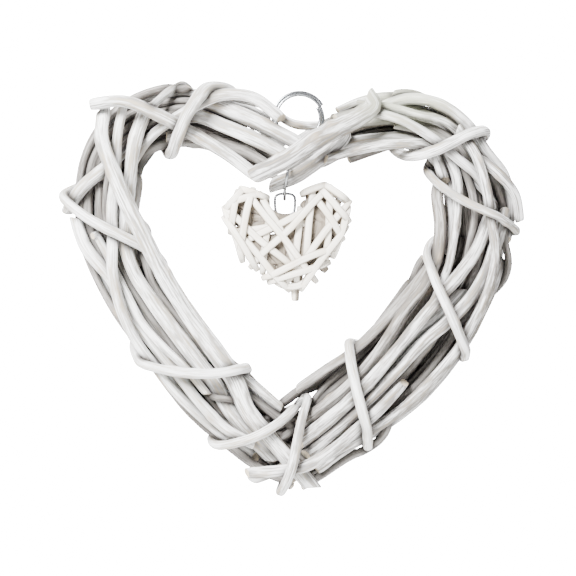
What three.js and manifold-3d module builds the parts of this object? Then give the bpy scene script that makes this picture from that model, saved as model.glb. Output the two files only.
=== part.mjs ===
// A wicker heart wreath. Peeled willow rods are laid in two limbs that meet at a notch and at a tip,
// and binding rods are wrapped round them. A split ring in the notch carries the wreath, and a little
// heart woven from flat strips hangs on a wire hook inside it. Millimetres, +Z up, front towards -Y.
import * as THREE from "three";
import { mergeVertices } from "three/addons/utils/BufferGeometryUtils.js";
import Module from "manifold-3d";

const wasm = await Module();
wasm.setup();

// The wreath: the ring hangs a little to the right of the heart's middle.
const HEART_MIDDLE_X = -4.5;
// The middle line of each limb, from the notch over the lobe to the tip: (distance from the middle, z).
const LEFT_LINE = [[4, -32], [22, -18], [50, -10], [81, -19], [92, -52], [82, -88], [47, -138], [3, -181]];
const RIGHT_LINE = [[4, -32], [22, -21], [50, -14], [78, -22], [93, -54], [87, -92], [51, -142], [4, -183]];
const ROD_SIDES = 6;
const ROD_STEP = 16.5;
const BINDER_STEP = 10.5;
const ROD_GAP = 0.35;

// The split ring and the wires.
const RING_INNER_RADIUS = 11.2;
const RING_WIRE = 1.6;
const RING_PITCH = 2.0;
const RING_TURNS = 2;
const RING_STEPS_PER_TURN = 18;
const HOOK_WIRE = 1.6;
const LOOP_WIRE = 1.4;
const WIRE_SIDES = 6;

// The pendant, in a frame of its own with its middle at the origin.
const PENDANT_X = -6;
const PENDANT_Z = -73;
const STRIP_WIDTH = 4.6;
const STRIP_THICKNESS = 1.2;
const STRIP_BEND_POINTS = 2;
const STRIP_DEPTHS = [6.2, 7.5, 8.8];
const STUB_RADIUS = 2.2;
const STUB_LENGTH = 9;
const STUB_X = 4;
const STUB_Z = -24.5;

const LEFT = -1;
const RIGHT = 1;

const WHITE_WILLOW = new THREE.MeshStandardMaterial({ color: 0xe9e7e4, roughness: 0.8, metalness: 0 });
const CREAM_STRIP = new THREE.MeshStandardMaterial({ color: 0xf3eee2, roughness: 0.75, metalness: 0 });
const BRIGHT_STEEL = new THREE.MeshStandardMaterial({ color: 0xc9cbcd, roughness: 0.25, metalness: 1 });

// Each rod has a name, a diameter and a route. A stop on the route is (station, outward, forward): the
// station is the share of the limb's length from the notch, in hundredths, outward is away from the
// heart's opening, and forward is towards the viewer.
const LEFT_RODS = [
  ["left_front_rod_1", 9, [[30, 14, 4], [35, 0, 13], [41, -9, 14], [47, -13, 13], [54, -14.5, 11],
    [68, -14.5, 10], [82, -13.5, 10], [89, -6, 11], [95, -3, 11], [107, -1.5, 10]]],
  ["left_front_rod_2", 8, [[26, 6, 6], [32, -8, 10], [40, -10, 8], [47, -9, 6], [54, -4.5, 9],
    [70, -6, 12], [80, -6, 12], [89, -1.5, 11], [99, 0, 9]]],
  ["left_front_rod_3", 6, [[4, 11, 7], [8, 12.5, 9], [11, 13, 9], [15, 6.5, 13], [18, -1, 13],
    [23, -7.5, 9], [30, -13, 5], [38, -14, 4], [50, -14, 5], [57, -15, 3]]],
  ["left_front_rod_4", 5.5, [[29, 13, 8], [33.5, 2, 11], [38.5, -3, 8], [44, -3, 7], [50, -1.5, 8],
    [55.5, 5, 11], [60.5, 9.5, 11], [66, 13.5, 8], [79, 13, 7], [90, 12, 6]]],
  ["left_front_rod_5", 4.5, [[44, 14, 4], [47.5, 9.5, 8], [53.5, 3.5, 8], [62.5, 6, 8], [69, 5, 9],
    [75, 2, 10], [82, 2, 10]]],
  ["left_front_rod_6", 6.5, [[46, 15, 1], [50, 13, 6], [57, 8, 6], [68, 10.5, 4], [79, 10.5, 9],
    [88, 10, 9], [94, 5, 10]]],
  ["left_front_rod_7", 7, [[31, 16, 7], [27.5, 7, 14], [22, -4, 14], [15.5, -11.5, 10], [8, -14, 8],
    [1, -13, 6]]],
  ["left_front_rod_8", 7.5, [[-1.5, 5.5, 6], [9, -1.5, 10], [16, -1.5, 10], [23, -6, 7], [28, -8.5, 4],
    [33.5, -6, 5], [39.5, 2, 8], [43, 14, 6], [45, 18, -1]]],
  ["left_front_rod_9", 8, [[-1, 9, 6], [5, 6.5, 8], [9, 5.5, 8], [12.5, 7, 7], [17, 9, 4]]],
  ["left_front_rod_10", 6, [[24, -6, 3], [19, -6, 4], [11.5, -9, 2], [4, -7, 1], [1, -6, 1]]],
  ["left_inner_rod_1", 5.5, [[24, -16, 2], [33, -17, 1], [45, -17.5, 1], [54, -16, 0], [62, -15, 0],
    [74, -15, 2], [82, -16, 4], [89, -17, 4], [94, -18, 3]]],
  ["left_inner_rod_2", 6, [[6, -12, -5], [20, -13, -4], [40, -14, -5], [62, -14, -6], [84, -14, -5],
    [95, -12, -6]]],
  ["left_outer_rod", 6, [[6, 12, -4], [20, 13, -2], [40, 13.5, -2], [62, 14, -2], [80, 13.5, -1],
    [96, 10, 0]]],
  ["left_back_rod_1", 6.5, [[2, 8, -10], [20, 7, -11], [45, 8, -11], [70, 7, -11], [97, 3, -10]]],
  ["left_back_rod_2", 6, [[4, -2, -12], [25, -2, -13], [50, 0, -13], [75, -1, -13], [98, -3, -11]]],
  ["left_back_rod_3", 6, [[0, -9, -9], [20, -9, -11], [45, -8, -12], [70, -9, -11], [96, -9, -9]]],
  ["left_core_rod", 6, [[9, 3, -2], [30, 2, -1], [55, 4, -2], [80, 4, -1], [96, 2, -2]]],
  ["ring_rod", 5, [[12, 8, 2], [6, 12, 2], [0.6, 15.4, 0], [-2, 24, -5], [-5, 34, -8]]],
];
const LEFT_BINDERS = [
  ["left_binder_1", 7.5, [[26, 8, -16], [25.5, -4, -18], [24.5, -15, -9], [23, -17, 2], [22, -12, 13],
    [20, -3, 18], [17.5, 7, 17], [15, 14.5, 9], [12.5, 17, -3], [11, 10, -15], [10, -1, -18], [9, -11, -14]]],
  ["left_binder_2", 5.5, [[25, 4, 12], [23.5, 10, 13], [22, 16, 8], [20, 18.5, -1], [18, 14, -12],
    [17, 6, -17], [16, -2, -18], [14.5, -12, -13]]],
  ["left_binder_3", 6.5, [[39, -3, -18], [41, 8, -16], [42, 16, -8], [43.5, 18.5, 0], [45.5, 9, 14],
    [49.5, -1.5, 18], [52.5, -9, 17], [55.5, -16, 10], [58, -19, 1], [60, -16, -8], [61, -7, -16],
    [61, 2, -18], [62, 11, -14]]],
  ["left_binder_4", 6.5, [[64, -8, -17], [65, 4, -18], [66, 13, -13], [68.5, 18.5, -2], [71, 16.5, 8],
    [75, 7.5, 15], [79, -1, 17.5], [82, -9, 17], [83.5, -17, 11], [84, -21, 1], [84, -16, -10],
    [84, -6, -17], [85, 6, -17]]],
  ["tip_binder_1", 6.5, [[95.5, 5, -17], [95, -6, -16], [95, -16, -10], [95.5, -22, 0], [95, -14, 11],
    [94, -3, 16], [92, 6, 16], [90, 15, 9], [88.5, 18, 0], [88, 12, -11], [88, 3, -17], [88.5, -8, -17]]],
  ["tip_binder_2", 6, [[98, -2, -18], [96, -12, -18], [94.5, -24, -13], [95, -31, -3], [95.5, -30, 5],
    [97, -20, 15], [100, -9, 18], [102, 1, 17], [103, 9, 12], [103.5, 13, 2], [103, 9, -10],
    [102, 1, -16], [101, -8, -18]]],
];
const RIGHT_RODS = [
  ["right_front_rod_1", 9.5, [[-8.5, 2, 12], [-2.5, 0, 16], [2.5, 0, 16], [8, 1.5, 14], [12, 8, 12],
    [16, 11, 11], [20, 12.5, 8]]],
  ["right_front_rod_2", 8.5, [[-5, -7, 4], [-0.5, -9, 5], [3, -8, 7], [7, -3, 8], [11, 1.5, 7], [16, 4, 6]]],
  ["right_front_rod_3", 5.5, [[4.5, -9.5, 10], [10.5, -11.5, 9], [19, -11.5, 9], [24, -9, 8], [30, -8, 7],
    [36, -10, 6]]],
  ["right_front_rod_4", 7, [[8, -3, 3], [13.5, -5.5, 3], [19, -6, 4], [24, -8.5, 3], [30, -12, 3],
    [40, -13, 3], [52, -14, 4]]],
  ["right_front_rod_5", 5, [[14, 3, 10], [19, -3, 12], [23.5, -7, 12], [27.5, -9.5, 11], [33, -7, 11],
    [36.5, -1.5, 11], [40, 2, 9], [44, 5, 7]]],
  ["right_front_rod_6", 5, [[14, 6, 9], [20.5, 2, 13], [25.5, 2, 14], [28, 5.5, 12], [32, 9, 8]]],
  ["right_front_rod_7", 6, [[15, 5, 6], [21, 9.5, 9], [27, 8.5, 11], [33, 7.5, 12], [37, 12, 7],
    [42, 13.5, 3], [48, 12, 2]]],
  ["right_front_rod_8", 5.5, [[28, 6, 8], [34, 3, 13], [39, 1.5, 14], [44, 1.5, 14], [50, 5, 14],
    [54, 6.5, 13], [60, 10, 10], [67, 14, 7], [78, 13, 7], [86, 10, 8], [94, 6, 8]]],
  ["right_front_rod_9", 5.5, [[33, 0, 7], [35.5, 3.5, 9], [38, 7.5, 10], [41, 12, 7], [45, 14, 2]]],
  ["right_front_rod_10", 4.5, [[35, -2, 8], [37.5, 1.5, 8], [40, 6, 8], [42.5, 12, 5], [47, 14, 1]]],
  ["right_front_rod_11", 5.5, [[30, -3, 9], [37, -6, 11], [42.5, -10, 10], [48.5, -12, 10], [55, -10.5, 10],
    [60, -8, 10], [66, -5, 9]]],
  ["right_front_rod_12", 7, [[44, 8, 5], [48, 3, 8], [52, 0, 11], [56, -5, 13], [63, -8, 13], [72, -9, 13],
    [80, -9, 13], [90, -8, 12], [97, -8, 10]]],
  ["right_front_rod_13", 6.5, [[43, 13, 3], [49, 8, 9], [54, 7.5, 10], [60, 5, 12], [65, 1, 13],
    [70, -2.5, 13], [78, -3, 13], [90, -2, 12], [98, -2, 10]]],
  ["right_front_rod_14", 6.5, [[38, -17, 2], [46, -17.5, 3], [54, -16, 5], [60, -16, 7], [66, -17.5, 8],
    [74, -16, 9], [82, -15, 11], [90, -16, 10], [95, -16.5, 8]]],
  ["right_front_rod_15", 6, [[57, -3, 7], [62, -6, 8], [71, -12.5, 11], [80, -12, 10], [90, -12, 9],
    [96, -13, 7]]],
  ["right_front_rod_16", 6, [[76, 1, 9], [84, 1, 13], [90, 2, 14], [96, 1, 14], [100, -2, 13],
    [103.5, -9, 10], [107, -16, 6]]],
  ["right_front_rod_17", 6, [[88, 7, 7], [93, 5, 9], [100.5, 3, 7], [105.5, -3, 4], [109, -6, 2]]],
  ["right_inner_rod", 6, [[36, -17.5, -3], [46, -19, -2], [54.5, -20, -1], [61, -21, 0], [68.5, -22, 1],
    [76, -23, 2], [84, -25, 2], [92, -25.5, 1]]],
  ["right_outer_rod_1", 6, [[10, 11, -5], [18, 13, -2], [32, 13, -2], [44, 13.5, -3], [54, 14, -5],
    [70, 13, -6], [95, 6, -5]]],
  ["right_outer_rod_2", 7.5, [[50, 13, -1], [57.5, 13, 2], [64.5, 15, 1], [77, 14, 1], [87, 9, 3],
    [93, 6, 5], [99, 5, 6]]],
  ["right_back_rod_1", 6.5, [[2, 7, -11], [20, 7, -12], [45, 8, -12], [70, 7, -12], [97, 3, -10]]],
  ["right_back_rod_2", 6, [[-2, 0, -12], [25, -1, -13], [50, -1, -13], [75, -2, -13], [101, -2, -11]]],
  ["right_back_rod_3", 6, [[2, -8, -10], [20, -9, -11], [45, -10, -11], [70, -10, -12], [97, -9, -11]]],
  ["right_back_rod_4", 6, [[40, -15, -7], [60, -18, -8], [80, -19, -8], [95, -18, -8]]],
  ["right_core_rod", 6, [[9, 3, -2], [30, 3, -2], [55, 3, -2], [80, 3, -1], [94, 2, -1]]],
];
const RIGHT_BINDERS = [
  ["right_binder_1", 7, [[17, 7, -17], [18, -4, -17], [19, -13, -9], [21, -17, 3], [24.5, -13.5, 11],
    [27.5, -9, 16], [29.5, 0, 18], [30, 9, 15], [31, 16, 7], [32, 18, -3], [32, 10, -14], [32, 1, -18],
    [32, -9, -17]]],
  ["right_binder_2", 5.5, [[28.5, 1, -18], [28, -10, -15], [28.5, -17.5, -5], [31, -20, 3], [36, -17, 10],
    [40, -13, 14], [42.5, -3, 18], [44.5, 10, 14], [46, 18, 4], [46.5, 18, -5], [46, 9, -15],
    [45, -1, -18], [44, -11, -17]]],
  ["right_binder_3", 6, [[47.5, 0, -18], [48, -12, -16], [49.5, -21, -8], [51, -24, 1], [55, -21, 8],
    [58.5, -13, 14], [62, -1.5, 18], [64.5, 10, 14], [66.5, 18, 5], [67.5, 18, -5], [67, 9, -15],
    [66, -2, -18], [65, -12, -18]]],
  ["right_binder_4", 6, [[76, -8, -18], [76, -20, -14], [77, -28, -3], [79, -27, 6], [81.5, -18, 14],
    [84, -8, 18], [86.5, 5, 17], [88.5, 14, 10], [89.5, 18, 0], [89, 12, -12], [87, 2, -17],
    [85.5, -9, -18]]],
];

// Places on a limb
function limbLine(side, line) {
  return new THREE.CatmullRomCurve3(line.map(([x, z]) => new THREE.Vector3(side * x, 0, z)), false, "catmullrom");
}

function placeOnLimb(side, line, stop) {
  const share = THREE.MathUtils.clamp(stop.x / 100, 0, 1);
  const along = line.getTangentAt(share);
  const outward = new THREE.Vector3(-along.z, 0, along.x).multiplyScalar(side);
  return line.getPointAt(share)
    .addScaledVector(along, (stop.x / 100 - share) * line.getLength())
    .addScaledVector(outward, stop.y)
    .add(new THREE.Vector3(0, -stop.z, 0));
}

// A rod's route as evenly spaced points
function rodPoints(side, line, stops, step) {
  const route = new THREE.CatmullRomCurve3(stops.map((stop) => new THREE.Vector3(...stop)), false, "catmullrom");
  const fine = route.getPoints(stops.length * 12).map((stop) => placeOnLimb(side, line, stop));
  const path = new THREE.CatmullRomCurve3(fine, false, "catmullrom");
  const steps = Math.max(3, Math.round(path.getLength() / step));
  return path.getSpacedPoints(steps);
}

function layRods(side, lineStops, table, step) {
  const line = limbLine(side, lineStops);
  return table.map(([name, diameter, stops]) => {
    const points = rodPoints(side, line, stops, step);
    return { name, radius: diameter / 2, points, laid: points.map((point) => point.clone()), fixed: false };
  });
}

// Rods that press into each other move apart until they only touch, as rods do when they are bound
const SETTLE_ROUNDS = 900;
const LAST_ROUNDS = 300;
const NEIGHBOUR_ROUNDS = 25;
const NEIGHBOUR_REACH = 8;
const PULL_BACK = 0.012;
const EASE = 0.12;

function segmentsOf(rods) {
  return rods.flatMap((rod) => rod.points.slice(1).map((point, index) => ({ rod, index })));
}

function middleOf({ rod, index }) {
  return rod.points[index].clone().add(rod.points[index + 1]).multiplyScalar(0.5);
}

function neighbourPairs(segments) {
  const middles = segments.map(middleOf);
  const halves = segments.map(({ rod, index }) => rod.points[index].distanceTo(rod.points[index + 1]) / 2);
  const pairs = [];
  for (let a = 0; a < segments.length; a++) {
    for (let b = a + 1; b < segments.length; b++) {
      const [one, two] = [segments[a], segments[b]];
      if (one.rod === two.rod || (one.rod.fixed && two.rod.fixed)) continue;
      const reach = halves[a] + halves[b] + one.rod.radius + two.rod.radius + NEIGHBOUR_REACH;
      if (middles[a].distanceToSquared(middles[b]) < reach * reach) pairs.push([one, two]);
    }
  }
  return pairs;
}

// Shares along two segments at their nearest points
function nearestShares(a0, a1, b0, b1) {
  const d1 = a1.clone().sub(a0);
  const d2 = b1.clone().sub(b0);
  const r = a0.clone().sub(b0);
  const a = d1.dot(d1);
  const e = d2.dot(d2);
  const b = d1.dot(d2);
  const c = d1.dot(r);
  const f = d2.dot(r);
  const bend = a * e - b * b;
  let s = bend > 1e-9 ? THREE.MathUtils.clamp((b * f - c * e) / bend, 0, 1) : 0.5;
  const t = THREE.MathUtils.clamp((b * s + f) / e, 0, 1);
  s = THREE.MathUtils.clamp((b * t - c) / a, 0, 1);
  return [s, t];
}

function shift({ rod, index }, share, move) {
  const norm = (1 - share) ** 2 + share ** 2;
  rod.points[index].addScaledVector(move, (1 - share) / norm);
  rod.points[index + 1].addScaledVector(move, share / norm);
}

function pushApart([one, two]) {
  const [a0, a1] = [one.rod.points[one.index], one.rod.points[one.index + 1]];
  const [b0, b1] = [two.rod.points[two.index], two.rod.points[two.index + 1]];
  const [s, t] = nearestShares(a0, a1, b0, b1);
  const apart = a0.clone().lerp(a1, s).sub(b0.clone().lerp(b1, t));
  const distance = apart.length();
  const lack = one.rod.radius + two.rod.radius + ROD_GAP - distance;
  if (lack <= 0) return 0;
  apart.multiplyScalar(1 / Math.max(distance, 1e-6));
  const shareOfOne = one.rod.fixed ? 0 : two.rod.fixed ? 1 : 0.5;
  shift(one, s, apart.clone().multiplyScalar(lack * shareOfOne));
  shift(two, t, apart.clone().multiplyScalar(-lack * (1 - shareOfOne)));
  return lack;
}

// A rod's bends stay smooth, and it leans back towards the route that it was laid on
function easeRod(rod, pull) {
  const moved = rod.points.map((point, index) => point.clone().sub(rod.laid[index]));
  rod.points.forEach((point, index) => {
    const before = moved[Math.max(0, index - 1)];
    const after = moved[Math.min(moved.length - 1, index + 1)];
    const mean = before.clone().add(after).multiplyScalar(0.5).sub(moved[index]);
    point.addScaledVector(mean, EASE).addScaledVector(moved[index], -pull);
  });
}

function settle(rods) {
  const segments = segmentsOf(rods);
  let pairs = [];
  for (let round = 0; round < SETTLE_ROUNDS + LAST_ROUNDS; round++) {
    if (round % NEIGHBOUR_ROUNDS === 0) pairs = neighbourPairs(segments);
    if (round < SETTLE_ROUNDS) {
      const pull = PULL_BACK * (1 - round / SETTLE_ROUNDS);
      rods.filter((rod) => !rod.fixed).forEach((rod) => easeRod(rod, pull));
    }
    const worst = pairs.reduce((most, pair) => Math.max(most, pushApart(pair)), 0);
    if (round >= SETTLE_ROUNDS && worst < ROD_GAP / 4) break;
  }
}

// A straight-sided path through given points, so that each step of a sweep ends on one of them
class PointPath extends THREE.Curve {
  constructor(points) {
    super();
    this.points = points;
  }

  getPoint(share, target = new THREE.Vector3()) {
    const place = share * (this.points.length - 1);
    const index = Math.min(Math.floor(place), this.points.length - 2);
    return target.lerpVectors(this.points[index], this.points[index + 1], place - index);
  }

  getPointAt(share, target) {
    return this.getPoint(share, target);
  }

  getTangentAt(share, target = new THREE.Vector3()) {
    const index = Math.round(share * (this.points.length - 1));
    const before = this.points[Math.max(0, index - 1)];
    const after = this.points[Math.min(this.points.length - 1, index + 1)];
    return target.subVectors(after, before).normalize();
  }
}

function roundSection(radius, sides) {
  const corners = Array.from({ length: sides }, (_, corner) => {
    const angle = (corner / sides) * 2 * Math.PI;
    return new THREE.Vector2(radius * Math.cos(angle), radius * Math.sin(angle));
  });
  return new THREE.Shape(corners);
}

function sweep(points, radius, sides) {
  const options = { steps: points.length - 1, extrudePath: new PointPath(points), bevelEnabled: false };
  return new THREE.ExtrudeGeometry(roundSection(radius, sides), options);
}

function named(name, geometry, material) {
  const mesh = new THREE.Mesh(geometry, material);
  mesh.name = name;
  return mesh;
}

// The hanging ring: two turns of round wire, with the ring's inner top at the origin
function ringPoints() {
  const radius = RING_INNER_RADIUS + RING_WIRE / 2;
  const steps = RING_TURNS * RING_STEPS_PER_TURN;
  return Array.from({ length: steps + 1 }, (_, step) => {
    const angle = (step / RING_STEPS_PER_TURN) * 2 * Math.PI + Math.PI / 3;
    const depth = (step / steps - 0.5) * RING_PITCH * RING_TURNS;
    return new THREE.Vector3(radius * Math.sin(angle), depth, radius * Math.cos(angle) - RING_INNER_RADIUS);
  });
}

// The pendant's hook goes over a notch rod from behind, hangs down in front of it, and turns up through
// the pendant's loop: (x, forward, z)
const HOOK_ROUTE = [[-5.5, -3, -45], [-5.5, -3, -40], [-5.5, 0, -36], [-5.5, 5, -35], [-5.5, 9.5, -37.5],
  [-6, 10, -41], [-6.5, 8, -44], [-7, 5, -47], [-7.2, 2.7, -49.8], [-7.2, 0, -51.7], [-7.2, -2.7, -49.8],
  [-7.2, -3, -47.5]];
const HOOK_STEPS = 26;

// The pendant's loop: a squarish eye round one end of a strip: (x, z)
const LOOP_CORNERS = [[-11.5, -50], [-7, -48.8], [-2.5, -50], [-2, -54], [-3, -58.5], [-7, -59.5], [-11, -58.5], [-12, -54]];
const LOOP_STEPS = 18;

function smoothPoints(points, closed, steps) {
  return new THREE.CatmullRomCurve3(points, closed).getSpacedPoints(steps);
}

function hookPoints() {
  return smoothPoints(HOOK_ROUTE.map(([x, forward, z]) => new THREE.Vector3(x, -forward, z)), false, HOOK_STEPS);
}

function loopGeometry() {
  const corners = LOOP_CORNERS.map(([x, z]) => new THREE.Vector3(x, 0, z));
  const path = new THREE.CatmullRomCurve3(corners, true);
  const options = { steps: LOOP_STEPS, extrudePath: path, bevelEnabled: false };
  return new THREE.ExtrudeGeometry(roundSection(LOOP_WIRE / 2, WIRE_SIDES), options);
}

// Each strip of the pendant is wound once round the little heart: (x, z) of its two turns at the edge,
// and which layer of the weave it lies in
const PENDANT_STRIPS = [
  [-22.5, 23.5, 14.5, -19.5, 1], [-31.5, 15, 2.5, -13, 0], [-19, -12.5, 19.5, 26.5, 2], [0, -21, 30.5, 19, 1],
  [-18, 26.5, -23.5, -5.5, 2], [8, 25.5, 13.5, -10, 0], [-0.5, 19.5, 4.5, -24, 0], [-30.5, 18.5, -12, 23, 0],
  [-12.5, -16.5, 25.5, -3, 2], [12.5, 27, 31.5, 10, 2], [-29.5, 10, 1.5, -25, 2], [30, 8.5, 6.5, -24, 0],
  [6.5, 24, 29, 24, 1], [-31, 18, -22, -10, 1], [31, 18, 23, -8, 0],
];

// A strip's turn seen along its width: two flat runs joined by round bends
function stripOutline(length, depth) {
  const outline = [];
  for (const end of [1, -1]) {
    for (let step = 0; step <= STRIP_BEND_POINTS; step++) {
      const angle = end * Math.PI / 2 * (1 - 2 * step / STRIP_BEND_POINTS);
      const x = end * (length / 2 - depth + depth * Math.cos(angle));
      outline.push(new THREE.Vector2(x, depth * Math.sin(angle)));
    }
  }
  return outline;
}

function stripGeometry([x0, z0, x1, z1, layer]) {
  const depth = STRIP_DEPTHS[layer];
  const length = Math.hypot(x1 - x0, z1 - z0);
  const turn = new THREE.Shape(stripOutline(length, depth));
  turn.holes.push(new THREE.Path(stripOutline(length - 2 * STRIP_THICKNESS, depth - STRIP_THICKNESS).reverse()));
  const geometry = new THREE.ExtrudeGeometry(turn, { depth: STRIP_WIDTH, bevelEnabled: false });
  geometry.translate(0, 0, -STRIP_WIDTH / 2);
  geometry.rotateY(-Math.atan2(z1 - z0, x1 - x0));
  geometry.translate((x0 + x1) / 2, 0, (z0 + z1) / 2);
  return geometry;
}

function solidOf(geometry) {
  geometry.deleteAttribute("normal");
  geometry.deleteAttribute("uv");
  const merged = mergeVertices(geometry, 1e-4);
  return new wasm.Manifold(new wasm.Mesh({
    numProp: 3,
    vertProperties: new Float32Array(merged.attributes.position.array),
    triVerts: new Uint32Array(merged.index.array),
  }));
}

function geometryOf(solid) {
  const mesh = solid.getMesh();
  const geometry = new THREE.BufferGeometry();
  geometry.setAttribute("position", new THREE.BufferAttribute(new Float32Array(mesh.vertProperties), 3));
  geometry.setIndex(new THREE.BufferAttribute(new Uint32Array(mesh.triVerts), 1));
  geometry.computeVertexNormals();
  return geometry;
}

// The front and the back of the pendant meet at the middle of its edge, with its hollow between them
function pendantHalves() {
  const stub = new THREE.CylinderGeometry(STUB_RADIUS, STUB_RADIUS, STUB_LENGTH, ROD_SIDES);
  stub.rotateX(Math.PI / 2);
  stub.translate(STUB_X, 0, STUB_Z);
  const strips = PENDANT_STRIPS.map((strip) => solidOf(stripGeometry(strip)));
  const whole = strips.reduce((joined, strip) => joined.add(strip), solidOf(stub));
  return whole.splitByPlane([0, -1, 0], 0).map(geometryOf);
}

// Everything in place. The rods settle round the ring and the hook, in the wreath's own frame
const ring = ringPoints();
const hook = hookPoints();
const toWreath = (points) => points.map((point) => point.clone().setX(point.x - HEART_MIDDLE_X));
const obstacles = [
  { name: "ring", radius: RING_WIRE / 2, points: toWreath(ring), fixed: true },
  { name: "hook", radius: HOOK_WIRE / 2, points: toWreath(hook), fixed: true },
];
const rods = [
  ...layRods(LEFT, LEFT_LINE, LEFT_RODS, ROD_STEP),
  ...layRods(RIGHT, RIGHT_LINE, RIGHT_RODS, ROD_STEP),
  ...layRods(LEFT, LEFT_LINE, LEFT_BINDERS, BINDER_STEP),
  ...layRods(RIGHT, RIGHT_LINE, RIGHT_BINDERS, BINDER_STEP),
];
settle([...obstacles, ...rods]);

const wreath = new THREE.Group();
wreath.position.x = HEART_MIDDLE_X;
rods.forEach((rod) => wreath.add(named(rod.name, sweep(rod.points, rod.radius, ROD_SIDES), WHITE_WILLOW)));

const [pendantFront, pendantBack] = pendantHalves();
const pendant = new THREE.Group();
pendant.position.set(PENDANT_X, 0, PENDANT_Z);
pendant.add(named("pendant_front", pendantFront, CREAM_STRIP));
pendant.add(named("pendant_back", pendantBack, CREAM_STRIP));

const heart = new THREE.Group();
heart.add(wreath);
heart.add(named("hanging_ring", sweep(ring, RING_WIRE / 2, WIRE_SIDES), BRIGHT_STEEL));
heart.add(named("pendant_hook", sweep(hook, HOOK_WIRE / 2, WIRE_SIDES), BRIGHT_STEEL));
heart.add(named("pendant_loop", loopGeometry(), BRIGHT_STEEL));
heart.add(pendant);

export default heart;
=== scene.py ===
import math
import random

import bmesh
import bpy
from mathutils import Matrix, Vector, noise
from mathutils.kdtree import KDTree


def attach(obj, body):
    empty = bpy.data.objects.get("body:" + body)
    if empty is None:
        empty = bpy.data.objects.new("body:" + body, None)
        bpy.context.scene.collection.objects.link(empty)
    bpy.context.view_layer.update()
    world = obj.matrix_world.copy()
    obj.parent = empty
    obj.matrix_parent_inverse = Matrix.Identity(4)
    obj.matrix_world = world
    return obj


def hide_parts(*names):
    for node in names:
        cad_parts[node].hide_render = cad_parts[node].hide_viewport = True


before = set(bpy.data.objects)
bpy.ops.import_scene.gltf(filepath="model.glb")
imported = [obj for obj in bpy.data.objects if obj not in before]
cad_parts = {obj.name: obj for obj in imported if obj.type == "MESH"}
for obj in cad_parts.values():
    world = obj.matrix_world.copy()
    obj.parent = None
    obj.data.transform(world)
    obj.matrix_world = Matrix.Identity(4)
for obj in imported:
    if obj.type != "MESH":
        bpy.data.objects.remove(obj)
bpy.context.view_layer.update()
scene = bpy.context.scene

# The camera stands square in front of the hanging heart, 650 mm away, and the frame is 288 mm wide at the
# heart's middle plane, so each pixel of the 576 pixel picture is half a millimetre there.
CAMERA_DISTANCE = 0.650
FRAME_WIDTH = 0.288
SENSOR_WIDTH = 36
camera_data = bpy.data.cameras.new("camera")
camera_data.sensor_width = SENSOR_WIDTH
camera_data.lens = SENSOR_WIDTH * CAMERA_DISTANCE / FRAME_WIDTH
camera = bpy.data.objects.new("camera", camera_data)
camera.location = (-0.0055, -CAMERA_DISTANCE, -0.096)
camera.rotation_euler = (math.radians(90), 0, 0)
scene.collection.objects.link(camera)
scene.camera = camera

# The long rods of the left half are one-year willow shoots, peeled, bent green round the lobe and dried in
# shape. They run from the notch to the tip, and taper a little from the butt to the tip of the shoot.
# A coat of thin white wash lies on them, so the grain, the knots and the grey wood show through.
LEFT_RODS = [
    "left_front_rod_1", "left_front_rod_2", "left_front_rod_3", "left_front_rod_4", "left_front_rod_5",
    "left_front_rod_6", "left_front_rod_7", "left_front_rod_8", "left_front_rod_9", "left_front_rod_10",
    "left_inner_rod_1", "left_inner_rod_2", "left_outer_rod",
    "left_back_rod_1", "left_back_rod_2", "left_back_rod_3", "left_core_rod", "ring_rod",
]
ROD_FACETS = 22
ROD_STEP = 0.0018
WORN_END = 0.0045
END_WEAR = 0.13
CUT_LEAN = (0.15, 0.75)
CUT_BEVEL = 0.10
ROUNDED = 0.90
TAPER = 0.10
OVAL = 0.09
OVAL_TURN = 0.055
SWELL, SWELL_LENGTH = 0.06, 0.018
LUMP, LUMP_LENGTH = 0.17, 0.034
RIPPLE, RIPPLE_LENGTH = 0.05, 0.008
KNOT_SPACING = (0.040, 0.095)
KNOT_HEIGHT = (0.10, 0.17)
KNOT_LENGTH = 0.0024
KNOT_SPREAD = 0.55
KNOT_COLLAR = 0.35
NOTCH = Vector((-0.0045, 0, -0.032))


def rod_axis(node):
    """The middle of each section of a packed rod from the notch end on, and the rod's radius."""
    bm = bmesh.new()
    bm.from_mesh(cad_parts[node].data)
    bmesh.ops.remove_doubles(bm, verts=bm.verts, dist=1e-6)
    bm.verts.ensure_lookup_table()

    def levels(start):
        seen, rows = set(start), [list(start)]
        while rows[-1]:
            row = {e.other_vert(v) for v in rows[-1] for e in v.link_edges} - seen
            seen |= row
            rows.append(sorted(row, key=lambda v: v.index))
        return rows[:-1]

    far = levels([bm.verts[0]])[-1][0]
    end = sorted(bm.verts, key=lambda v: (v.co - far.co).length)[:6]
    rows = levels(end)
    centres = [sum((v.co for v in row), Vector()) / len(row) for row in rows]
    radius = sum((v.co - centres[0]).length for v in rows[0]) / len(rows[0])
    bm.free()
    if (centres[-1] - NOTCH).length < (centres[0] - NOTCH).length:
        centres.reverse()
    return centres, radius


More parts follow.
